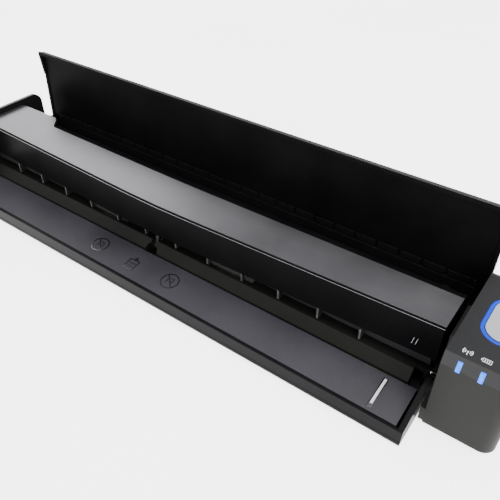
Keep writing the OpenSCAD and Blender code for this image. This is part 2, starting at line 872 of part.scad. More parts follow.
module eject_gear() {
    color("#e3e0d5") spur(gear_x, gear_teeth, eject_phase, shaft_r, eject_y, axle_z);
}

// ---- Paper sensor ----

module sensor_lever() {
    color("#2c2c2e") difference() {
        along_x(lever_x - 0.8, lever_x + 0.8) {
            translate([lever_y, lever_z]) circle(lever_r);
            polygon([[lever_y - 1, lever_z], [lever_y - 0.8, lever_z - 3.6], [lever_y + 0.8, lever_z - 3.6],
                [lever_y + 1, lever_z], [lever_y + 1.3, lever_tip_z - 0.3], [lever_y + 0.5, lever_tip_z]]);
        }
        rod(lever_x - 2, lever_x + 2, lever_pin_r + run_gap, lever_y, lever_z);
    }
}

module lever_pin() {
    color("#d0d2d5") rod(lever_x - 3.4, lever_x + 3.4, lever_pin_r, lever_y, lever_z);
}

module sensor_board() {
    z0 = raised_z + raised_t;
    color("#1f5a35") block([lever_x - 6, lever_x + 6], [door_y + 0.9, lever_y + 5], [z0, z0 + 0.6]);
    color("#151515") for (x = [lever_x - 2.2, lever_x + 1.2])
        block([x, x + 1], [lever_y - 0.9, lever_y + 0.9], [z0 + 0.6, z0 + 1.7]);
}

// ---- Top cover ----

// Plan of the silver panel, drawn in by inset
module panel_plan(inset = 0) {
    tab_x = cover_x0 + tab_w;
    polygon(concat(
        bow_line(bow_y + inset, bow_slope, cover_x0 + inset, cover_x1 - inset),
        reversed(bow_line(panel_rear_y - inset, 0.0135, tab_x + tab_run, cover_x1 - inset)),
        [for (i = [1:8]) [tab_x + tab_run - tab_run * i / 8,
            bow(tab_x + tab_run, panel_rear_y, 0.0135) - inset
                + (tab_y - bow(tab_x + tab_run, panel_rear_y, 0.0135)) * (1 - cos(180 * i / 8)) / 2]],
        [for (a = [90:15:180]) [cover_x0 + tab_round, tab_y - tab_round] + polar(tab_round - inset, a)]));
}

module top_panel() {
    color("#7d7b80") translate([0, 0, panel_low_z]) linear_extrude(panel_t) panel_plan();
}

// Plan of the fascia behind and below the panel's front edge
module fascia_plan(y_in) {
    polygon(concat(
        bow_line(bow_y - ridge, bow_slope, cover_x0, cover_x1),
        reversed(bow_line(y_in, bow_slope, cover_x0, cover_x1))));
}

module upper_frame() {
    wall_x = [cover_x0, cover_x1 - arm_t];
    color("#141416") difference() {
        union() {
            translate([0, 0, fascia_z]) linear_extrude(panel_low_z - fascia_z)
                fascia_plan(bow_y - ridge + fascia_t);
            // ridge in front of the panel
            translate([0, 0, panel_low_z - 0.1]) linear_extrude(ridge_rise + 0.1)
                fascia_plan(bow_y - ridge_gap);
            // flange under the fascia
            translate([0, 0, fascia_z]) linear_extrude(1.2) polygon(concat(
                bow_line(bow_y - ridge + 0.2, bow_slope, cover_x0, cover_x1),
                [[cover_x1, -11.2], [cover_x0, -11.2]]));
            // deck under the panel
            translate([0, 0, deck_low_z]) linear_extrude(panel_low_z - deck_low_z) panel_plan(0.05);
            // rear wall with its rounded shoulder
            along_x(frame_x0, cover_x1) {
                intersection() {
                    translate([rear_face_y - nose_r, nose_z]) difference() {
                        circle(nose_r);
                        circle(nose_r - rear_face_t);
                    }
                    area([rear_face_y - nose_r, rear_face_y + 1], [nose_z, nose_z + nose_r + 1]);
                }
                area([rear_face_y - rear_face_t, rear_face_y], [guide_plate_z, nose_z]);
                area([panel_rear_y - 0.7, rear_face_y - nose_r],
                    [nose_z + nose_r - rear_face_t, nose_z + nose_r]);
            }
            block([frame_x0, cover_x0 + tab_w], [4, tab_y - 0.3], [nose_z + 5.2, panel_low_z]);
            // end walls
            for (x = wall_x) block([x, x + arm_t], [-11.6, 8], [fascia_z, panel_low_z]);
            for (x = wall_x) block([x, x + arm_t], [-10.6, 8], [guide_plate_top, fascia_z + 1]);
            // hinge arms
            cover_arm(arm_left_x());
            cover_arm(arm_right_x());
            for (x = [sensor_x0 - 4, sensor_x1 + 3.6], y = [-2, 8.4])
                post(x, y, guide_plate_top, deck_low_z + 0.2, 2.1);
        }
        for (x = [sensor_x0 - 4, sensor_x1 + 3.6], y = [-2, 8.4])
            post(x, y, guide_plate_top - 1, guide_plate_top + 6, screw_r);
        for (x = [arm_left_x(), arm_right_x()])
            rod(x - 1, x + arm_t + 1, cover_pin_r + run_gap, cover_axis_y, cover_axis_z);
    }
}

function arm_left_x() = lid_x0 + lid_wall_t + arm_gap;
function arm_right_x() = lid_x1 - lid_wall_t - arm_gap - arm_t;

module cover_arm(x) {
    along_x(x, x + arm_t) {
        translate([cover_axis_y, cover_axis_z]) circle(arm_r);
        polygon([[7.9, fascia_z], [7.9, nose_z + 2], [cover_axis_y - 0.5, cover_axis_z + arm_r - 0.1],
            [cover_axis_y, cover_axis_z - arm_r]]);
    }
    if (x > 0) block([cover_x1 - arm_t, x + arm_t], [5, 8], [fascia_z, nose_z + 2]);
    if (x < 0) block([cover_x0, x + arm_t], [5, 8], [fascia_z, nose_z + 2]);
}

module upper_guide() {
    color("#232426") difference() {
        union() {
            along_x(frame_x0 + 1.2, cover_x1 - arm_t - 0.1) polygon([
                [feed_y - 3, fascia_z], [feed_y - 2, fascia_z], [feed_y - 1.7, guide_plate_top],
                [rear_face_y - rear_face_t, guide_plate_top], [rear_face_y - rear_face_t, guide_plate_z],
                [feed_y - 2.6, guide_plate_z]]);
            // ribs that hold the sheet's edge down at the entry
            for (i = [0:rib_count - 1]) {
                x = rib_x(i);
                block([x - rib_w / 2, x + rib_w / 2], [entry_rib_y, feed_y - 2.4],
                    [entry_rib_z, fascia_z]);
            }
            // cowls in front of the front pinch rollers
            at_rollers(pinch_len + 3) block([0, pinch_len + 3],
                [feed_y - pinch_r - 1.5, feed_y - pinch_r - 0.5], [guide_plate_z + 1, fascia_z]);
            for (y = [feed_y, eject_y], side = [-1, 1]) {
                x = path_x + side * pinch_ear_x - pinch_ear_t / 2;
                block([x, x + pinch_ear_t], [y - 1.9, y + 1.9], [guide_plate_z, pinch_z + 1.9]);
            }
        }
        block([sensor_x0 - 0.3, sensor_x1 + 0.3], [glass_y[0] - glass_gap, glass_y[1] + glass_gap],
            [guide_plate_z - 1, guide_plate_top + 1]);
        for (y = [feed_y, eject_y]) {
            at_rollers(pinch_len + 1) block([0, pinch_len + 1], [y - pinch_r - 0.5, y + pinch_r + 0.4],
                [guide_plate_z - 1, fascia_z + 2]);
            rod(path_x - 40, path_x + 40, pinch_shaft_r + run_gap, y, pinch_z);
        }
        for (x = [sensor_x0 - 4, sensor_x1 + 3.6], y = [-2, 8.4])
            post(x, y, guide_plate_z - 1, guide_plate_top + 1, screw_r);
    }
}

module image_sensor() {
    color("#1b1b1d") block([sensor_x0, sensor_x1], sensor_y, [guide_plate_top, guide_plate_top + sensor_h]);
}

module sensor_glass() {
    color("#9fb6b8") block([sensor_x0, sensor_x1], glass_y, [guide_plate_z - glass_lift, guide_plate_top]);
}

// Two bowed leaf springs that press the image sensor down
module sensor_springs() {
    z0 = guide_plate_top + sensor_h;
    rise = deck_low_z - z0;
    color("#c8cacc") for (x = [path_x - 70, path_x + 70])
        translate([x, 2, z0]) rotate([90, 0, 0]) linear_extrude(4) polygon([
            [-12, 0], [-9, 0], [-2, rise - spring_t], [2, rise - spring_t], [9, 0], [12, 0],
            [12, spring_t], [9.3, spring_t], [2.2, rise], [-2.2, rise], [-9.3, spring_t], [-12, spring_t]]);
}

// Leaf springs over the pinch roller shafts, each with a dimple at its middle
module pinch_springs() {
    z0 = pinch_z + 1.9;
    reach = pinch_ear_x + pinch_ear_t / 2;
    color("#c8cacc") for (y = [feed_y, eject_y]) {
        block([path_x - reach, path_x + reach], [y - 1.5, y + 1.5], [z0, z0 + spring_t]);
        post(path_x, y, pinch_z + pinch_shaft_r + 0.1, z0, 0.8);
    }
}

module frame_screws() {
    color("#8d8f92") for (x = [sensor_x0 - 4, sensor_x1 + 3.6], y = [-2, 8.4])
        post(x, y, guide_plate_z + 0.1, guide_plate_top + 5.8, screw_r);
}

// Flat flexible lead from the image sensor to the rear of the cover
module sensor_ribbon() {
    z0 = guide_plate_top + sensor_h;
    color("#d9c9a0") along_x(sensor_x1 - 12, sensor_x1 - 4) polygon([
        [-2, z0], [8.6, z0], [11.2, z0 - 3], [11.2, z0 - 8], [11.5, z0 - 8], [11.5, z0 - 2.9],
        [8.8, z0 + 0.3], [-2, z0 + 0.3]]);
}

module pinch_shaft(y) {
    color("#c4c6c9") rod(path_x - roller_x - pinch_len / 2 - 2, path_x + roller_x + pinch_len / 2 + 2,
        pinch_shaft_r, y, pinch_z);
}

module pinch_rollers(y) {
    color("#e6e4dc") at_rollers(pinch_len) ring(0, pinch_len, pinch_r, pinch_shaft_r, y, pinch_z);
}

module front_pinch_shaft() { pinch_shaft(feed_y); }
module rear_pinch_shaft() { pinch_shaft(eject_y); }
module front_pinch_rollers() { pinch_rollers(feed_y); }
module rear_pinch_rollers() { pinch_rollers(eject_y); }

// ---- Output guide ----

// Turns what is drawn closed about the cover hinge line, to where it stands open
module lid_opened() {
    translate([0, cover_axis_y, cover_axis_z]) rotate([-lid_open, 0, 0])
        translate([0, -cover_axis_y, -cover_axis_z]) children();
}

// Side outline of the closed output guide: front lip, flat top, rounded rear edge, rear wall
module lid_outline() {
    turn_y = rear_y - rear_round;
    turn_z = body_h - rear_round;
    lean = bevel_lean * lid_lip / (body_h - bevel_z);
    polygon([
        [front_y + bevel_lean - lean, lid_lip_z], [front_y + bevel_lean, body_h], [turn_y, body_h],
        [turn_y, lid_in_z], [front_y + bevel_lean + lid_t, lid_in_z],
        [front_y + bevel_lean - lean + lid_t, lid_lip_z]]);
    intersection() {
        translate([turn_y, turn_z]) difference() {
            circle(rear_round);
            circle(rear_round - lid_t);
        }
        area([turn_y, rear_y + 1], [turn_z, body_h + 1]);
    }
    area([rear_y - lid_t, rear_y], [lid_rear_z, turn_z]);
}

// End wall of the closed output guide: a low flange that deepens at both ends, and a hinge arm
module lid_end(x) {
    along_x(x, x + lid_wall_t) {
        polygon([
            [front_y + bevel_lean + 0.5, lid_lip_z], [front_y + bevel_lean + 0.5, lid_in_z + 0.2],
            [rear_y - rear_round, lid_in_z + 0.2], [rear_y - rear_round, lid_in_z - 0.5],
            [lid_step_y, lid_in_z - 0.5], [lid_step_y, lid_in_z - 0.9]]);
        polygon([
            [cover_axis_y - 1.6, lid_in_z + 0.2], [rear_y - rear_round, lid_in_z + 0.2],
            [rear_y - lid_t + 0.2, body_h - rear_round], [rear_y - lid_t + 0.2, lid_rear_z + 2],
            [cover_axis_y + 1.4, cover_axis_z - arm_r + 0.4], [cover_axis_y - 2.8, cover_axis_z]]);
        translate([cover_axis_y, cover_axis_z]) circle(arm_r);
    }
}

module output_guide() {
    color("#0d0d0e") lid_opened() difference() {
        union() {
            along_x(lid_x0, lid_x1) lid_outline();
            lid_end(lid_x0);
            lid_end(lid_x1 - lid_wall_t);
        }
        for (x = [lid_x0, lid_x1 - lid_wall_t])
            rod(x - 1, x + lid_wall_t + 1, cover_pin_r + run_gap, cover_axis_y, cover_axis_z);
    }
}

// Satin liner of the output guide, with a comb of short teeth along its upper edge
module guide_liner() {
    turn_y = rear_y - rear_round;
    turn_z = body_h - rear_round;
    r = rear_round - lid_t;
    x0 = lid_x0 + lid_wall_t + 4;
    x1 = lid_x1 - lid_wall_t - 2.6;
    count = floor((x1 - x0) / tooth_pitch);
    color("#1b1b1d") lid_opened() difference() {
        along_x(x0, x1) {
            area([comb_y[0], turn_y], [lid_in_z - liner_t, lid_in_z]);
            intersection() {
                translate([turn_y, turn_z]) difference() {
                    circle(r);
                    circle(r - liner_t);
                }
                area([turn_y, rear_y], [turn_z, body_h]);
            }
            area([rear_y - lid_t - liner_t, rear_y - lid_t], [lid_rear_z + 1, turn_z]);
        }
        for (i = [0:count]) translate([x0 + i * tooth_pitch - tooth_gap / 2, 0, 0])
            block([0, tooth_gap], [comb_y[0] - 1, comb_y[1]], [lid_in_z - 2, lid_in_z + 0.01]);
        block([x0 - 1, x1 + 1], [comb_y[1], comb_y[1] + 0.5], [lid_in_z - 2, lid_in_z - liner_t / 2]);
    }
}

// ---- Feeding guide ----

// End wall outline of the open feeding guide, rising to its hinge boss
module door_end_outline() {
    polygon([
        [door_front_y, door_low_z], [door_front_y + 0.6, door_low_z + door_end_h],
        [door_y - 4.2, door_z + 2.4], [door_y, door_z + door_boss_r], [door_y + 2.4, door_z - 1.6],
        [door_y + door_heel, door_low_z + door_shell_t], [door_y + door_heel, door_low_z]]);
    translate([door_y, door_z]) circle(door_boss_r);
}

module feeding_guide() {
    color("#1d1e20") difference() {
        union() {
            along_x(door_x0, door_x1) {
                area([door_front_y, door_y + door_heel], [door_low_z, door_low_z + door_shell_t]);
                polygon([
                    [door_front_y, door_low_z], [door_front_y + 0.6, door_low_z + door_end_h],
                    [door_front_y + door_rim_t, door_low_z + door_end_h],
                    [door_front_y + door_rim_t, door_low_z]]);
            }
            for (x = [door_x0, door_x1 - door_wall_t]) along_x(x, x + door_wall_t) door_end_outline();
            // ribs that carry the inner plate
            for (i = [0:6]) {
                x = door_x0 + 20 + i * (door_x1 - door_x0 - 40) / 6;
                along_x(x - 0.6, x + 0.6) polygon([
                    [plate_front_y - 0.5, door_low_z],
                    [plate_front_y - 0.5, plate_at(plate_front_y - 0.5) - door_plate_t],
                    [plate_rear_y - 0.6, plate_at(plate_rear_y - 0.6) - door_plate_t],
                    [plate_rear_y - 0.6, door_low_z]]);
            }
            // catch in the gap beside the plate
            block([door_x1 - door_wall_t - 0.5, door_x1 - door_wall_t + 0.2],
                [plate_front_y + 6, plate_front_y + 9], [door_low_z, plate_front_z + 0.3]);
        }
        for (x = [door_x0, door_x1 - door_wall_t])
            rod(x - 1, x + door_wall_t + 1, door_pin_r + run_gap, door_y, door_z);
    }
}

// Height of the inner plate's upper face at a place y
function plate_at(y) =
    plate_front_z + (plate_rear_z - plate_front_z) * (y - plate_front_y) / (plate_rear_y - plate_front_y);

module plate_outline(lift = 0, drop = 0) {
    polygon([
        [plate_front_y, plate_front_z + lift], [plate_rear_y, plate_rear_z + lift],
        [plate_rear_y, plate_rear_z - door_plate_t - drop],
        [plate_front_y, plate_front_z - door_plate_t - drop]]);
}

module feeding_plate() {
    color("#2c2b2f") difference() {
        along_x(door_x0 + door_wall_t + plate_gap, door_x1 - door_wall_t - plate_gap) plate_outline();
        mark_room(mark_border, mark_tail);
    }
}

// Groove at the paper's right edge, which holds the pale mark; its tail runs on towards the front
module mark_room(grow, tail) {
    x = path_x + scan_w / 2 + 1.2;
    intersection() {
        along_x(x - mark_w / 2 - grow, x + mark_w / 2 + grow) plate_outline(1, -mark_depth);
        block([x - 5, x + 5], [plate_front_y + 3.4 - grow - tail, plate_rear_y - 2 + grow], [0, 20]);
    }
}

module edge_mark() {
    color("#e9e9ec") intersection() {
        mark_room(0, 0);
        along_x(path_x, right_x) plate_outline(-0.25, -mark_depth);
    }
}

bottom_cover();
lower_frame();
left_end_cap();
control_housing();
control_top();
button_ring();
light_pipes();
button_board();
tact_switch();
main_board();
interface_board();
usb_socket();
slide_switch();
setup_switch();
battery_pack();
wireless_module();
drive_motor();
gear_plate();
idler_stud();
roller_bushes();
platen();
rubber_feet();
bottom_screws();
cover_pins();
door_pins();
lever_pin();
sensor_board();
top_panel();
upper_frame();
upper_guide();
image_sensor();
sensor_glass();
sensor_springs();
pinch_springs();
frame_screws();
sensor_ribbon();
front_pinch_shaft();
front_pinch_rollers();
rear_pinch_shaft();
rear_pinch_rollers();
feed_shaft();
feed_rollers();
feed_gear();
eject_shaft();
eject_rollers();
eject_gear();
motor_shaft();
motor_pinion();
idler_gear();
output_guide();
guide_liner();
feeding_guide();
feeding_plate();
edge_mark();
scan_button();
wifi_switch();
setup_button();
sensor_lever();
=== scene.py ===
"""Looks of a slim sheet fed document scanner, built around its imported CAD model."""
import json
import logging
import math
from dataclasses import dataclass, field
from enum import Enum

import bmesh
import bpy
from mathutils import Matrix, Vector


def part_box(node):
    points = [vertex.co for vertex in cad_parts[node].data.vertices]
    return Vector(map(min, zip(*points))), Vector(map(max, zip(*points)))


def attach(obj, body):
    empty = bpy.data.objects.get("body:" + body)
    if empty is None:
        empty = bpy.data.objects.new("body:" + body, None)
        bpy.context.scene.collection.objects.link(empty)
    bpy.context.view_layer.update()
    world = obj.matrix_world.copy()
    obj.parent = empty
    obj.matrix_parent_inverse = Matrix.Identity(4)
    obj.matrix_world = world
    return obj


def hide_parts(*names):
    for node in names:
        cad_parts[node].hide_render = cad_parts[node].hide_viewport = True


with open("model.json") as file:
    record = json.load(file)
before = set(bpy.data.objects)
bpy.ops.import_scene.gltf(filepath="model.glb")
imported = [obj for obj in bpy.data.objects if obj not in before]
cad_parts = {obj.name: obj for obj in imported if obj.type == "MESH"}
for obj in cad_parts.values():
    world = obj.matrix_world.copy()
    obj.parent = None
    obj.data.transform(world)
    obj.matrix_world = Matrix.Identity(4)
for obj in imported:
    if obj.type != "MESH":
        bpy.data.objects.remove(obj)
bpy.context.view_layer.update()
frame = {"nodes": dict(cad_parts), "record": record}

MM = 0.001
LOG = logging.getLogger("scanner")

COAT_ROUGHNESS = 0.06
TONE_EDGES = (0.35, 0.65)
GRAIN_IN_GLOSS = 0.35
GLOSS_EDGES = (0.45, 0.9)

Colour = tuple[float, float, float]
Point = tuple[float, float]


class Grain(Enum):
    """Stretch of a finish's relief along X, Y and Z."""

    EVEN = (1.0, 1.0, 1.0)
    BRUSHED = (0.018, 1.0, 1.0)
    TURNED = (1.0, 0.06, 0.06)


@dataclass(frozen=True)
class Finish:
    """A finish with broad tone drift, fine relief and uneven gloss.

    Sizes are in millimetres. `relief` is the height of the grain, and `cloud` the width of the patches in which
    tone and gloss drift.
    """

    name: str
    colour: Colour
    drift: Colour
    gloss: tuple[float, float]
    grain_size: float = 0.35
    relief: float = 0.012
    grain: Grain = Grain.EVEN
    cloud: float = 28.0
    speckle: float = 0.25
    metallic: float = 0.0
    specular: float = 0.5
    coat: float = 0.0
    glow: float = 0.0
    clear: float = 0.0

    def material(self) -> bpy.types.Material:
        """Builds the finish, or finds it when it is built already.

        Returns:
            The node material of this finish.
        """
        made = bpy.data.materials.get(self.name)
        if made is not None:
            return made
        made = bpy.data.materials.new(self.name)
        made.use_nodes = True
        tree = made.node_tree
        shader = next(n for n in tree.nodes if n.type == "BSDF_PRINCIPLED")
        shader.inputs["Metallic"].default_value = self.metallic
        shader.inputs["Specular IOR Level"].default_value = self.specular
        shader.inputs["Coat Weight"].default_value = self.coat
        shader.inputs["Coat Roughness"].default_value = COAT_ROUGHNESS
        shader.inputs["Transmission Weight"].default_value = self.clear
        place = tree.nodes.new("ShaderNodeTexCoord").outputs["Object"]
        cloud = self._noise(tree, place, self.cloud, detail=3.0)
        stretched = self._stretch(tree, place)
        grain = self._noise(tree, stretched, self.grain_size, detail=2.0)
        tone = self._mix(tree, cloud, self.colour, self.drift)
        speck = tree.nodes.new("ShaderNodeMix")
        speck.data_type = "RGBA"
        speck.blend_type = "OVERLAY"
        speck.inputs["Factor"].default_value = self.speckle
        tree.links.new(tone, speck.inputs["A"])
        tree.links.new(grain, speck.inputs["B"])
        tree.links.new(speck.outputs["Result"], shader.inputs["Base Color"])
        tree.links.new(self._gloss(tree, cloud, grain), shader.inputs["Roughness"])
        bump = tree.nodes.new("ShaderNodeBump")
        bump.inputs["Distance"].default_value = self.relief * MM
        tree.links.new(grain, bump.inputs["Height"])
        tree.links.new(bump.outputs["Normal"], shader.inputs["Normal"])
        if self.glow:
            shader.inputs["Emission Strength"].default_value = self.glow
            tree.links.new(tone, shader.inputs["Emission Color"])
        return made

    def _stretch(self, tree: bpy.types.NodeTree, place: bpy.types.NodeSocket) -> bpy.types.NodeSocket:
        """Stretches places along the grain.

        Args:
            tree: Node tree of the material.
            place: Socket with the place on the object.

        Returns:
            The stretched place.
        """
        node = tree.nodes.new("ShaderNodeVectorMath")
        node.operation = "MULTIPLY"
        node.inputs[1].default_value = self.grain.value
        tree.links.new(place, node.inputs[0])
        return node.outputs["Vector"]

    @staticmethod
    def _noise(tree: bpy.types.NodeTree, place: bpy.types.NodeSocket, size: float, detail: float
               ) -> bpy.types.NodeSocket:
        """Adds a noise texture.

        Args:
            tree: Node tree of the material.
            place: Socket with the place on the object.
            size: Width of the pattern in millimetres.
            detail: Octaves of the pattern.

        Returns:
            The strength of the noise.
        """
        node = tree.nodes.new("ShaderNodeTexNoise")
        node.inputs["Scale"].default_value = 1 / (size * MM)
        node.inputs["Detail"].default_value = detail
        tree.links.new(place, node.inputs["Vector"])
        return node.outputs["Fac"]

    @staticmethod
    def _mix(tree: bpy.types.NodeTree, share: bpy.types.NodeSocket, low: Colour, high: Colour
             ) -> bpy.types.NodeSocket:
        """Mixes two colours with some contrast.

        Args:
            tree: Node tree of the material.
            share: How much of the second colour shows.
            low: First colour.
            high: Second colour.

        Returns:
            The mixed colour.
        """
        ramp = tree.nodes.new("ShaderNodeValToRGB")
        for element, position, colour in zip(ramp.color_ramp.elements, TONE_EDGES, (low, high)):
            element.position = position
            element.color = (*colour, 1)
        tree.links.new(share, ramp.inputs["Fac"])
        return ramp.outputs["Color"]

    def _gloss(self, tree: bpy.types.NodeTree, cloud: bpy.types.NodeSocket, grain: bpy.types.NodeSocket
               ) -> bpy.types.NodeSocket:
        """Makes the uneven gloss from both patterns.

        Args:
            tree: Node tree of the material.
            cloud: Broad pattern.
            grain: Fine pattern.

        Returns:
            The roughness.
        """
        both = tree.nodes.new("ShaderNodeMath")
        both.operation = "MULTIPLY_ADD"
        both.inputs[1].default_value = GRAIN_IN_GLOSS
        tree.links.new(grain, both.inputs[0])
        tree.links.new(cloud, both.inputs[2])
        spread = tree.nodes.new("ShaderNodeMapRange")
        spread.inputs["From Min"].default_value = GLOSS_EDGES[0]
        spread.inputs["From Max"].default_value = GLOSS_EDGES[1]
        spread.inputs["To Min"].default_value = self.gloss[0]
        spread.inputs["To Max"].default_value = self.gloss[1]
        tree.links.new(both.outputs["Value"], spread.inputs["Value"])
        return spread.outputs["Result"]


HOUSING = Finish("textured_black_plastic", (0.009, 0.009, 0.009), (0.014, 0.014, 0.0135), (0.5, 0.66),
                 specular=0.15)
LIP = Finish("moulded_olive_black", (0.0046, 0.005, 0.004), (0.0074, 0.0078, 0.0063), (0.42, 0.56),
             specular=0.14)
INNER = Finish("moulded_inner_black", (0.006, 0.006, 0.007), (0.01, 0.01, 0.011), (0.4, 0.6), specular=0.3)
GLOSS = Finish("polished_black_plastic", (0.0035, 0.0035, 0.004), (0.006, 0.006, 0.0065), (0.06, 0.16),
               grain_size=1.6, relief=0.0015, speckle=0.08, coat=0.5)
FASCIA = Finish("smooth_fascia_black", (0.0024, 0.0024, 0.0027), (0.0038, 0.0038, 0.004), (0.27, 0.36),
                grain_size=1.2, relief=0.0015, speckle=0.08, specular=0.01)
CAP = Finish("satin_cap_black", (0.006, 0.006, 0.0064), (0.0092, 0.0092, 0.0096), (0.26, 0.36),
             grain_size=0.8, relief=0.003, speckle=0.12, specular=0.2)
GUIDE_BLACK = Finish("deep_black_plastic", (0.0038, 0.0037, 0.0038), (0.0062, 0.006, 0.006), (0.34, 0.46),
                     grain_size=1.2, relief=0.0015, speckle=0.08, specular=0.01)
GUIDE_SATIN = Finish("satin_liner_plastic", (0.0058, 0.0058, 0.0056), (0.0078, 0.0077, 0.0074), (0.42, 0.54),
                     specular=0.08)
SHELL = Finish("satin_black_shell", (0.0034, 0.0034, 0.0037), (0.0056, 0.0056, 0.0062), (0.3, 0.42),
               grain_size=0.6, relief=0.004, specular=0.05)
PLATE = Finish("frosted_charcoal_plate", (0.021, 0.02, 0.0252), (0.0305, 0.029, 0.0362), (0.44, 0.58),
               grain_size=0.3, relief=0.055, speckle=0.7, specular=0.35)
SILVER = Finish("brushed_dark_silver", (0.09, 0.0875, 0.0935), (0.118, 0.1145, 0.122), (0.28, 0.36),
                grain_size=0.16, relief=0.0016, grain=Grain.BRUSHED, speckle=0.16, metallic=0.85)
BLOCK = Finish("textured_block_grey", (0.0072, 0.0075, 0.0065), (0.0105, 0.0108, 0.0094), (0.52, 0.68),
               grain_size=0.28, relief=0.045, speckle=0.6, specular=0.12)
BLOCK_TOP = Finish("textured_dark_grey", (0.0085, 0.0085, 0.0092), (0.012, 0.012, 0.0127), (0.44, 0.58),
                   grain_size=0.28, relief=0.035, speckle=0.5, specular=0.22)
RING = Finish("lit_blue_ring", (0.002, 0.03, 0.42), (0.004, 0.045, 0.52), (0.2, 0.3), grain_size=1.5,
              relief=0.001, speckle=0.05, specular=0.2, glow=0.24)
BUTTON = Finish("satin_silver_button", (0.5, 0.51, 0.53), (0.58, 0.59, 0.61), (0.24, 0.34), grain_size=0.2,
                relief=0.003, speckle=0.15, metallic=0.75)
LAMP = Finish("lit_lamp_lens", (0.005, 0.1, 0.72), (0.02, 0.22, 0.9), (0.16, 0.26), grain_size=0.8,
              relief=0.002, speckle=0.1, specular=0.2, glow=0.36, cloud=1.5)
RUBBER = Finish("ground_roller_rubber", (0.03, 0.03, 0.031), (0.045, 0.045, 0.046), (0.7, 0.88),
                grain_size=0.25, relief=0.03, grain=Grain.TURNED)
FOOT = Finish("foot_rubber", (0.02, 0.02, 0.021), (0.03, 0.03, 0.03), (0.72, 0.9), relief=0.02)
STEEL = Finish("ground_steel", (0.56, 0.57, 0.58), (0.66, 0.66, 0.67), (0.16, 0.3), grain_size=0.1,
               relief=0.0012, grain=Grain.TURNED, speckle=0.15, metallic=1.0)
PIN = Finish("blackened_pin_steel", (0.05, 0.05, 0.052), (0.075, 0.075, 0.078), (0.34, 0.46), grain_size=0.1,
             relief=0.0012, grain=Grain.TURNED, speckle=0.15, metallic=1.0)
TINNED = Finish("tinned_sheet", (0.5, 0.5, 0.49), (0.62, 0.62, 0.6), (0.3, 0.46), grain_size=0.4,
                relief=0.003, cloud=6.0, metallic=1.0)
MOTOR = Finish("plated_motor_can", (0.36, 0.36, 0.37), (0.45, 0.45, 0.45), (0.26, 0.4), grain_size=0.2,
               relief=0.002, grain=Grain.TURNED, metallic=1.0)
BRASS = Finish("sintered_bronze", (0.42, 0.27, 0.1), (0.52, 0.34, 0.14), (0.34, 0.5), grain_size=0.15,
               relief=0.01, metallic=1.0, cloud=3.0)
NATURAL = Finish("natural_nylon", (0.62, 0.61, 0.56), (0.7, 0.69, 0.64), (0.34, 0.48), relief=0.006,
                 speckle=0.12, cloud=5.0)
WHITE = Finish("smooth_white_plastic", (0.74, 0.74, 0.72), (0.8, 0.8, 0.78), (0.3, 0.42), relief=0.004,
               speckle=0.1)
BOARD = Finish("green_circuit_board", (0.01, 0.085, 0.03), (0.015, 0.12, 0.045), (0.22, 0.36), grain_size=0.9,
               relief=0.012, speckle=0.35, cloud=4.0)
BATTERY = Finish("blue_shrink_film", (0.02, 0.06, 0.25), (0.03, 0.085, 0.32), (0.22, 0.36), grain_size=2.0,
                 relief=0.03, cloud=9.0)
FILM = Finish("amber_flex_film", (0.36, 0.2, 0.05), (0.44, 0.26, 0.08), (0.2, 0.32), grain_size=0.8,
              relief=0.003, cloud=5.0)
GLASS = Finish("sensor_glass", (0.5, 0.56, 0.56), (0.56, 0.62, 0.62), (0.03, 0.06), grain_size=3.0,
               relief=0.0005, speckle=0.03, clear=0.8)
PRINT = Finish("pale_print", (0.62, 0.62, 0.64), (0.7, 0.7, 0.72), (0.4, 0.55), relief=0.002, speckle=0.15,
               cloud=1.5)
TICK = Finish("worn_print", (0.26, 0.26, 0.27), (0.34, 0.34, 0.35), (0.4, 0.55), relief=0.002, speckle=0.15,
              cloud=1.5)
# Near black: the raised signs' own colour, and painted shade on the floor of the edge mark's groove.
SIGN_BLACK_AND_GROOVE_SHADE = Finish("raised_sign_and_groove_shade_black", (0.005, 0.005, 0.006), (0.009, 0.009, 0.01), (0.16, 0.26), relief=0.004,
               specular=0.9)
# Pale grey strip colour: a painted highlight standing in for the glint on the ridge's rounded top edge.
GLINT = Finish("painted_ridge_highlight", (0.16, 0.16, 0.165), (0.22, 0.22, 0.226), (0.2, 0.3), grain_size=1.2,
               relief=0.0015, cloud=9.0)
# Pale grey for the front of each entry rib: a painted highlight where the rib edges catch the light.
PAINTED_RIB_HIGHLIGHT = Finish("painted_rib_highlight", (0.035, 0.036, 0.033), (0.06, 0.061, 0.056), (0.34, 0.5), relief=0.004,
              cloud=2.0)
FLOOR = Finish("pale_floor", (0.87, 0.87, 0.87), (0.9, 0.9, 0.9), (0.6, 0.75), grain_size=1.2, relief=0.004,
               cloud=160.0, speckle=0.03, specular=0.1, glow=3.6)

SLOT_FINISH = {
    "housing_black": HOUSING, "dark_plastic": INNER, "gloss_black": GLOSS, "satin_black": SHELL,
    "block_grey": BLOCK, "block_top_grey": BLOCK_TOP, "blue_ring": RING, "button_silver": BUTTON,
    "lamp_lens": LAMP, "circuit_board": BOARD, "tinned_steel": TINNED, "battery_wrap": BATTERY,
    "motor_steel": MOTOR, "pin_steel": STEEL, "bush_brass": BRASS, "platen_white": WHITE,
    "foot_rubber": FOOT, "panel_silver": SILVER, "sensor_glass": GLASS, "flex_film": FILM,
    "plate_charcoal": PLATE,
}


def slot_of(node: str) -> str:
    """Finds the record's material slot of a node.

    Args:
        node: Name of the CAD node.

    Returns:
        Name of its material slot.
    """
    return next(s["material_slot"] for s in frame["record"]["subparts"] if s["node"] == node)


def body_of(node: str) -> str:
    """Finds the body that a CAD node belongs to.

    Args:
        node: Name of the CAD node.

    Returns:
        Name of the body.
    """
    return next(b for b, nodes in frame["record"]["behaviour"]["bodies"].items() if node in nodes)


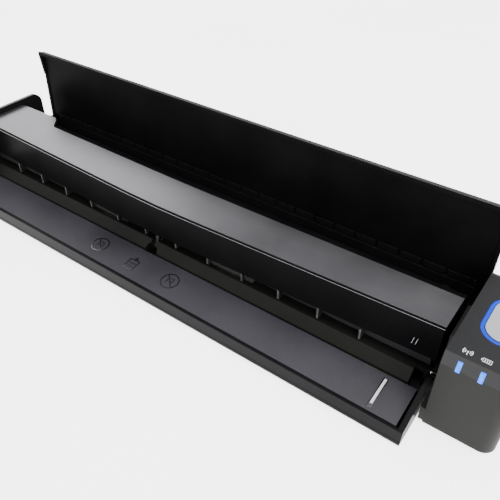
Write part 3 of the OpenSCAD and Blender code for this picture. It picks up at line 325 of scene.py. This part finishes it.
def dress(piece: bpy.types.Object, finish: Finish) -> None:
    """Gives a piece one finish.

    Args:
        piece: The piece.
        finish: Its finish.
    """
    if not piece.data.materials:
        piece.data.materials.append(None)
    for index in range(len(piece.data.materials)):
        piece.data.materials[index] = finish.material()


def link(name: str, mesh: bpy.types.Mesh, body: str, finish: Finish) -> bpy.types.Object:
    """Adds a new piece to the scene and to its body.

    Args:
        name: Name of the piece.
        mesh: Its mesh, in the frame.
        body: CAD body that it moves with.
        finish: Its finish.

    Returns:
        The piece.
    """
    piece = bpy.data.objects.new(name, mesh)
    bpy.context.scene.collection.objects.link(piece)
    dress(piece, finish)
    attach(piece, body)
    LOG.info("%s on %s: %d faces, %s", name, body, len(mesh.polygons), finish.name)
    return piece


@dataclass(frozen=True)
class Softened:
    """A moulded piece whose edges are rounded as the tool leaves them.

    `radius` is the edge radius in millimetres, and `fold` the least angle in degrees that counts as an edge.
    """

    node: str
    finish: Finish
    radius: float = 0.2
    segments: int = 2
    fold: float = 28.0

    def build(self) -> bpy.types.Object:
        """Makes the rounded piece in place of its CAD node.

        Returns:
            The piece.
        """
        form = bmesh.new()
        form.from_mesh(frame["nodes"][self.node].data)
        bmesh.ops.remove_doubles(form, verts=form.verts, dist=0.002 * MM)
        mesh = bpy.data.meshes.new(self.node + "_form")
        form.to_mesh(mesh)
        form.free()
        draft = bpy.data.objects.new(self.node + "_draft", mesh)
        bpy.context.scene.collection.objects.link(draft)
        mesh.shade_smooth()
        bevel = draft.modifiers.new("edges", "BEVEL")
        bevel.width = self.radius * MM
        bevel.segments = self.segments
        bevel.limit_method = "ANGLE"
        bevel.angle_limit = math.radians(self.fold)
        bevel.miter_outer = "MITER_ARC"
        even = draft.modifiers.new("normals", "WEIGHTED_NORMAL")
        even.mode = "FACE_AREA"
        even.weight = 60
        graph = bpy.context.evaluated_depsgraph_get()
        rounded = bpy.data.meshes.new_from_object(draft.evaluated_get(graph))
        bpy.data.objects.remove(draft)
        piece = link(self.node + "_moulded", rounded, body_of(self.node), self.finish)
        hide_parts(self.node)
        return piece


@dataclass(frozen=True)
class Board:
    """A flat place to lay signs on: its middle, its two directions and its outward normal."""

    middle: Vector
    across: Vector
    along: Vector

    @property
    def normal(self) -> Vector:
        """Outward direction of the place."""
        return self.across.cross(self.along).normalized()

    def at(self, point: Point, height: float) -> Vector:
        """Places a point of a sign.

        Args:
            point: Place across and along, in millimetres.
            height: Height above the surface, in millimetres.

        Returns:
            The point in the frame.
        """
        return self.middle + (self.across * point[0] + self.along * point[1] + self.normal * height) * MM


@dataclass
class Sign:
    """A small sign of thin raised or printed strokes.

    Lengths are in millimetres, angles in degrees.
    """

    place: Board
    height: float = 0.03
    sink: float = 0.05
    form: bmesh.types.BMesh = field(default_factory=bmesh.new)

    def shape(self, outline: list[Point]) -> None:
        """Adds a filled stroke with a closed outline.

        Args:
            outline: Corners, counter-clockwise.
        """
        top = [self.form.verts.new(self.place.at(p, self.height)) for p in outline]
        base = [self.form.verts.new(self.place.at(p, -self.sink)) for p in outline]
        self.form.faces.new(top)
        self.form.faces.new(list(reversed(base)))
        count = len(outline)
        for i in range(count):
            j = (i + 1) % count
            self.form.faces.new((base[i], base[j], top[j], top[i]))

    def bar(self, start: Point, end: Point, width: float) -> None:
        """Adds a straight stroke.

        Args:
            start: One end.
            end: Other end.
            width: Width of the stroke.
        """
        run = Vector((end[0] - start[0], end[1] - start[1])).normalized() * width / 2
        side = Vector((-run.y, run.x))
        self.shape([(start[0] - side.x, start[1] - side.y), (end[0] - side.x, end[1] - side.y),
                    (end[0] + side.x, end[1] + side.y), (start[0] + side.x, start[1] + side.y)])

    def arc(self, middle: Point, radius: float, width: float, start: float, end: float, steps: int = 20) -> None:
        """Adds a round stroke.

        Args:
            middle: Middle of the circle.
            radius: Radius of the stroke's middle line.
            width: Width of the stroke.
            start: Angle where it starts.
            end: Angle where it ends.
            steps: Straight pieces along it.
        """
        def rim(size: float, step: int) -> Point:
            """Gives the point of a circle of this size after this many steps."""
            angle = math.radians(start + (end - start) * step / steps)
            return middle[0] + size * math.cos(angle), middle[1] + size * math.sin(angle)

        for step in range(steps):
            self.shape([rim(radius - width / 2, step), rim(radius + width / 2, step),
                        rim(radius + width / 2, step + 1), rim(radius - width / 2, step + 1)])

    def finish(self, name: str, body: str, slot: str, finish: Finish) -> bpy.types.Object:
        """Turns the strokes into a piece.

        Args:
            name: Name of the piece.
            body: CAD body that it moves with.
            slot: Material slot of the record; not used.
            finish: Its finish.

        Returns:
            The piece.
        """
        bmesh.ops.remove_doubles(self.form, verts=self.form.verts, dist=0.0005 * MM)
        bmesh.ops.recalc_face_normals(self.form, faces=self.form.faces)
        mesh = bpy.data.meshes.new(name)
        self.form.to_mesh(mesh)
        self.form.free()
        return link(name, mesh, body, finish)


class Dressing:
    """Finishes of the CAD nodes that keep their own shape."""

    special: dict[str, Finish] = {
        "feed_rollers": RUBBER, "eject_rollers": RUBBER, "front_pinch_rollers": NATURAL,
        "rear_pinch_rollers": NATURAL, "feed_gear": NATURAL, "eject_gear": NATURAL, "idler_gear": NATURAL,
        "motor_pinion": NATURAL, "guide_liner": GUIDE_SATIN, "edge_mark": PRINT, "lower_frame": LIP,
        "cover_pins": PIN, "door_pins": PIN, "sensor_board": INNER,
    }

    def build(self) -> None:
        """Gives each node its finish."""
        for name, node in frame["nodes"].items():
            finish = self.special.get(name, SLOT_FINISH[slot_of(name)])
            dress(node, finish)
            LOG.info("%s: %s", name, finish.name)


@dataclass
class Base:
    """The body shells and the left end cap."""

    edge: float = 0.25

    def build(self) -> None:
        """Builds the moulded shells with rounded edges."""
        Softened("left_end_cap", CAP, radius=0.9, segments=4).build()
        Softened("lower_frame", LIP, radius=0.12, segments=1).build()
        Softened("bottom_cover", HOUSING, radius=self.edge).build()


@dataclass
class ControlBlock:
    """Housing, top, scan button, lamps and printed signs of the control block. Lengths are in millimetres."""

    sign_rise: float = 4.0
    sign_inset: float = 1.3
    stroke: float = 0.28
    arcs: tuple[float, ...] = (0.85, 1.45)
    wave_spread: float = 42.0
    cell_size: tuple[float, float] = (2.6, 1.5)
    charge_bars: tuple[float, ...] = (-0.65, 0.0, 0.65)

    def build(self) -> None:
        """Builds the moulded pieces and the signs behind the two lamps."""
        Softened("control_housing", BLOCK, radius=0.3, segments=3).build()
        Softened("control_top", BLOCK_TOP, radius=0.3, segments=3).build()
        Softened("button_ring", RING, radius=0.3, segments=3).build()
        Softened("scan_button", BUTTON, radius=0.7, segments=4).build()
        Softened("light_pipes", LAMP, radius=0.15).build()
        low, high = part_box("light_pipes")
        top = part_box("control_top")[1].z
        front = low.y + self.sign_rise * MM
        inset = self.sign_inset * MM
        self._wireless(Board(Vector((low.x + inset, front, top)), Vector((1, 0, 0)), Vector((0, 1, 0))))
        self._battery(Board(Vector((high.x - inset, front, top)), Vector((1, 0, 0)), Vector((0, 1, 0))))

    def _wireless(self, place: Board) -> None:
        """Prints a mast between two pairs of waves.

        Args:
            place: Where the sign goes.
        """
        sign = Sign(place)
        sign.arc((0, 0.3), 0.2, 0.3, 0, 360)
        sign.bar((0, 0.2), (0, -1.1), self.stroke)
        for radius in self.arcs:
            for side in (0, 180):
                sign.arc((0, 0.3), radius, self.stroke, side - self.wave_spread, side + self.wave_spread,
                         steps=10)
        sign.finish("wireless_sign", "base", "platen_white", PRINT)

    def _battery(self, place: Board) -> None:
        """Prints the outline of a cell with its charge bars.

        Args:
            place: Where the sign goes.
        """
        sign = Sign(place)
        half_w, half_h = self.cell_size[0] / 2, self.cell_size[1] / 2
        corners = [(-half_w, -half_h), (half_w, -half_h), (half_w, half_h), (-half_w, half_h)]
        for start, end in zip(corners, corners[1:] + corners[:1]):
            sign.bar(start, end, self.stroke * 0.7)
        sign.bar((-half_w - 0.35, -0.35), (-half_w - 0.35, 0.35), self.stroke)
        for x in self.charge_bars:
            sign.bar((x, -0.45), (x, 0.45), self.stroke)
        sign.finish("battery_sign", "base", "platen_white", PRINT)


@dataclass
class TopCover:
    """Silver top panel, the frame under it and the paper guide. Lengths are in millimetres."""

    tick_gap: float = 1.3
    tick_height: float = 2.9
    tick_lean: float = 0.5
    tick_width: float = 0.13
    tick_from_end: float = 9.0
    tick_above_frame: float = 8.0
    tick_search: float = 9.0
    fascia_depth: float = 1.5
    edge_share: float = 0.7
    edge_margin: float = 0.1
    line_width: float = 0.2
    line_in_front_of: float = -5.0

    def build(self) -> None:
        """Builds the panel, its frame, the painted highlights on the rib fronts and the ridge top, and the two
        pale ticks on the fascia.
        """
        Softened("top_panel", SILVER, radius=0.25, segments=3).build()
        Softened("upper_frame", FASCIA, radius=0.2, segments=2).build()
        Softened("upper_guide", INNER, radius=0.1, segments=1).build()
        self._rib_edges()
        self._ridge_line()
        self._ticks()

    def _ridge_line(self) -> None:
        """Paints a pale highlight line along the top of the ridge that runs in front of the panel."""
        mesh = frame["nodes"]["upper_frame"].data
        top = max(v.co.z for v in mesh.vertices)
        rows: dict[float, list[float]] = {}
        crest = [v.co for v in mesh.vertices if v.co.z > top - 0.02 * MM]
        for co in (c for c in crest if c.y < self.line_in_front_of * MM):
            rows.setdefault(round(co.x / MM, 1), []).append(co.y / MM)
        line = [(x, sum(ys) / len(ys)) for x, ys in sorted(rows.items())]
        sign = Sign(Board(Vector((0, 0, top)), Vector((1, 0, 0)), Vector((0, 1, 0))), height=0.02, sink=0.1)
        for start, end in zip(line, line[1:]):
            sign.bar(start, end, self.line_width)
        sign.finish("ridge_line", "top_cover", slot_of("upper_frame"), GLINT)

    def _rib_edges(self) -> None:
        """Paints a pale highlight along the front of each rib at the paper's entry, where the rib edges catch
        the light.
        """
        mesh = frame["nodes"]["upper_guide"].data
        front = min(v.co.y for v in mesh.vertices)
        edge = [v.co for v in mesh.vertices if v.co.y < front + 0.01 * MM]
        low, high = min(c.z for c in edge), max(c.z for c in edge)
        sides = sorted({round(c.x / MM, 2) for c in edge})
        height = (high - low) / MM
        for number, (left, right) in enumerate(zip(sides[::2], sides[1::2]), start=1):
            middle = Vector(((left + right) / 2 * MM, front, low))
            sign = Sign(Board(middle, Vector((1, 0, 0)), Vector((0, 0, 1))), height=0.02, sink=0.2)
            half = (right - left) * self.edge_share / 2
            foot, head = self.edge_margin, height - self.edge_margin
            sign.shape([(-half, foot), (half, foot), (half, head), (-half, head)])
            sign.finish(f"rib_edge_{number}", "top_cover", slot_of("upper_guide"), PAINTED_RIB_HIGHLIGHT)

    def _ticks(self) -> None:
        """Prints the two slanting ticks that stand over the paper's right edge."""
        low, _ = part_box("upper_frame")
        mesh = frame["nodes"]["upper_frame"].data
        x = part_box("top_panel")[1].x - self.tick_from_end * MM
        floor = low.z + self.tick_above_frame * MM
        near = [v.co for v in mesh.vertices if abs(v.co.x - x) < self.tick_search * MM and v.co.z > floor]
        front = min(near, key=lambda co: co.y)
        far = max((c for c in near if c.y < front.y + self.fascia_depth * MM), key=lambda co: co.x)
        slope = (far.y - front.y) / max(far.x - front.x, MM)
        y = front.y + slope * (x - front.x)
        across = Vector((1, slope, 0)).normalized()
        sign = Sign(Board(Vector((x, y, floor)), across, Vector((0, 0, 1))), height=0.03, sink=0.4)
        for step in range(2):
            start = step * self.tick_gap
            sign.bar((start, 0), (start + self.tick_lean, self.tick_height), self.tick_width)
        sign.finish("edge_ticks", "top_cover", "platen_white", TICK)


@dataclass
class OutputGuide:
    """The raised output guide and its liner."""

    rim: float = 0.45

    def build(self) -> None:
        """Builds the guide with a rounded rim."""
        Softened("output_guide", GUIDE_BLACK, radius=self.rim, segments=3).build()
        Softened("guide_liner", GUIDE_SATIN, radius=0.12, segments=1).build()


@dataclass
class FeedingGuide:
    """The folded down feeding guide, its inner plate and the signs on it. Lengths are in millimetres."""

    ring_radius: float = 3.9
    stroke: float = 0.46
    ring_offset: float = 20.7
    sheet: tuple[float, float] = (5.0, 9.0)
    signs_x: float = -18.1
    sign_height: float = 0.14
    groove_border: float = 0.4
    groove_tail: float = 1.55
    groove_depth: float = 0.6
    groove_floor: float = 0.09

    def build(self) -> None:
        """Builds the shell, the plate and the raised signs."""
        Softened("feeding_guide", SHELL, radius=0.3, segments=3).build()
        Softened("feeding_plate", PLATE, radius=0.2, segments=2).build()
        place = self._plate_board()
        for side in (-1, 1):
            self._barred_circle(place, side * self.ring_offset, "left" if side < 0 else "right")
        self._sheet_sign(place)
        self._mark_groove(place)

    def _mark_groove(self, place: Board) -> None:
        """Lays a near-black floor in the groove round the edge mark, darker than the plate: painted shade in the
        recess.

        Args:
            place: The plate's face.
        """
        low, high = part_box("edge_mark")
        middle = place.middle + place.along * (((low.y + high.y) / 2 - place.middle.y) / place.along.y)
        middle.x = (low.x + high.x) / 2
        half_x = (high.x - low.x) / 2 / MM + self.groove_border
        half_y = (high.y - low.y) / 2 / MM + self.groove_border
        # Painted shade: a near-black floor sunk in the groove around the pale edge mark.
        sign = Sign(Board(middle, place.across, place.along), height=-self.groove_depth,
                    sink=self.groove_depth + self.groove_floor)
        sign.shape([(-half_x, -half_y - self.groove_tail), (half_x, -half_y - self.groove_tail),
                    (half_x, half_y), (-half_x, half_y)])
        sign.finish("mark_groove_painted_shade", "feeding_guide", slot_of("feeding_plate"), SIGN_BLACK_AND_GROOVE_SHADE)

    def _plate_board(self) -> Board:
        """Measures the sloping face of the plate.

        Returns:
            The place of the signs, at the plate's middle.
        """
        corners = [v.co for v in frame["nodes"]["feeding_plate"].data.vertices]
        front = max(corners, key=lambda c: (-round(c.y, 5), c.z))
        rear = max(corners, key=lambda c: (round(c.y, 5), c.z))
        along = Vector((0, rear.y - front.y, rear.z - front.z))
        middle = Vector((self.signs_x * MM, (front.y + rear.y) / 2, (front.z + rear.z) / 2))
        return Board(middle, Vector((1, 0, 0)), along.normalized())

    def _barred_circle(self, place: Board, x: float, side: str) -> None:
        """Raises a barred circle round a small sheet.

        Args:
            place: The plate's face.
            x: Distance from the middle sign.
            side: Word for the piece's name.
        """
        sign = Sign(place, height=self.sign_height)
        sign.arc((x, 0), self.ring_radius, self.stroke, 0, 360, steps=40)
        reach = (self.ring_radius - self.stroke / 2) * math.sqrt(0.5)
        sign.bar((x - reach, reach), (x + reach, -reach), self.stroke)
        sign.bar((x - 1.3, -1.2), (x - 1.3, 0.6), self.stroke * 0.7)
        sign.bar((x + 1.3, -0.6), (x + 1.3, 1.2), self.stroke * 0.7)
        sign.bar((x - 0.5, 1.6), (x + 1.3, 1.6), self.stroke * 0.7)
        sign.finish(f"barred_circle_{side}", "feeding_guide", "satin_black", SIGN_BLACK_AND_GROOVE_SHADE)

    def _sheet_sign(self, place: Board) -> None:
        """Raises the outline of a sheet with an arrow at its leading edge.

        Args:
            place: The plate's face.
        """
        sign = Sign(place, height=self.sign_height)
        half_w, low = self.sheet[0] / 2, -self.sheet[1] / 2
        high = low + self.sheet[1] * 0.62
        outline = [(-half_w, low), (half_w, low), (half_w, high), (-half_w, high)]
        for start, end in zip(outline, outline[1:] + outline[:1]):
            sign.bar(start, end, self.stroke)
        for row in (0.35, 0.65):
            y = low + (high - low) * row
            sign.bar((-half_w + 0.8, y), (half_w - 0.8, y), self.stroke * 0.7)
        sign.shape([(-1.2, high + 0.4), (1.2, high + 0.4), (0, high + 2)])
        sign.finish("sheet_sign", "feeding_guide", "satin_black", SIGN_BLACK_AND_GROOVE_SHADE)


@dataclass(frozen=True)
class Softbox:
    """A square area light. Lengths are in metres and power in watts."""

    name: str
    at: tuple[float, float, float]
    to: tuple[float, float, float]
    size: float
    power: float

    def build(self) -> None:
        """Adds the light, turned to what it points at."""
        light = bpy.data.lights.new(self.name, "AREA")
        light.size = self.size
        light.energy = self.power
        lamp = bpy.data.objects.new(self.name, light)
        lamp.location = self.at
        lamp.rotation_euler = (Vector(self.to) - Vector(self.at)).to_track_quat("-Z", "Y").to_euler()
        bpy.context.scene.collection.objects.link(lamp)


@dataclass
class Studio:
    """Floor, lights, sky and camera. Lengths are in metres."""

    floor_radius: float = 4.0
    camera_at: tuple[float, float, float] = (0.13343, -0.14969, 0.16802)
    camera_down: float = 39.54
    camera_turn: float = 36.03
    lens: float = 41.6
    rise: float = 0.0064
    sky: float = 1.1
    softboxes: tuple[Softbox, ...] = (
        Softbox("key_light", at=(-0.62, 0.36, 0.42), to=(-0.08, 0, 0.03), size=0.4, power=2.2),
        Softbox("top_light", at=(0.25, 0.1, 0.9), to=(0, 0, 0.02), size=0.8, power=11.0),
        Softbox("front_light", at=(0.75, -0.6, 0.5), to=(0.1, 0, 0.02), size=0.5, power=6.0),
    )

    def build(self) -> None:
        """Sets up the studio."""
        self._floor()
        self._sky()
        for softbox in self.softboxes:
            softbox.build()
        self._camera()

    def _floor(self) -> None:
        """Lays a round pale floor."""
        form = bmesh.new()
        bmesh.ops.create_circle(form, cap_ends=True, segments=96, radius=self.floor_radius)
        mesh = bpy.data.meshes.new("floor")
        form.to_mesh(mesh)
        form.free()
        floor = bpy.data.objects.new("floor", mesh)
        bpy.context.scene.collection.objects.link(floor)
        dress(floor, FLOOR)

    def _sky(self) -> None:
        """Lights the room evenly."""
        world = bpy.data.worlds.new("studio")
        world.use_nodes = True
        back = next(n for n in world.node_tree.nodes if n.type == "BACKGROUND")
        back.inputs["Color"].default_value = (0.97, 0.98, 1.0, 1)
        back.inputs["Strength"].default_value = self.sky
        bpy.context.scene.world = world

    def _camera(self) -> None:
        """Adds the camera."""
        data = bpy.data.cameras.new("camera")
        data.lens = self.lens
        data.sensor_width = 36.0
        data.shift_y = self.rise
        data.clip_start = 0.005
        camera = bpy.data.objects.new("camera", data)
        camera.location = self.camera_at
        camera.rotation_euler = (math.radians(90 - self.camera_down), 0, math.radians(self.camera_turn))
        bpy.context.scene.collection.objects.link(camera)
        bpy.context.scene.camera = camera


def main() -> None:
    """Builds the scanner's looks and the studio."""
    logging.basicConfig(level=logging.INFO, format="%(message)s")
    Dressing().build()
    for assembly in (Base(), ControlBlock(), TopCover(), OutputGuide(), FeedingGuide(), Studio()):
        LOG.info("building %s", type(assembly).__name__)
        assembly.build()


if __name__ == "__main__":
    main()
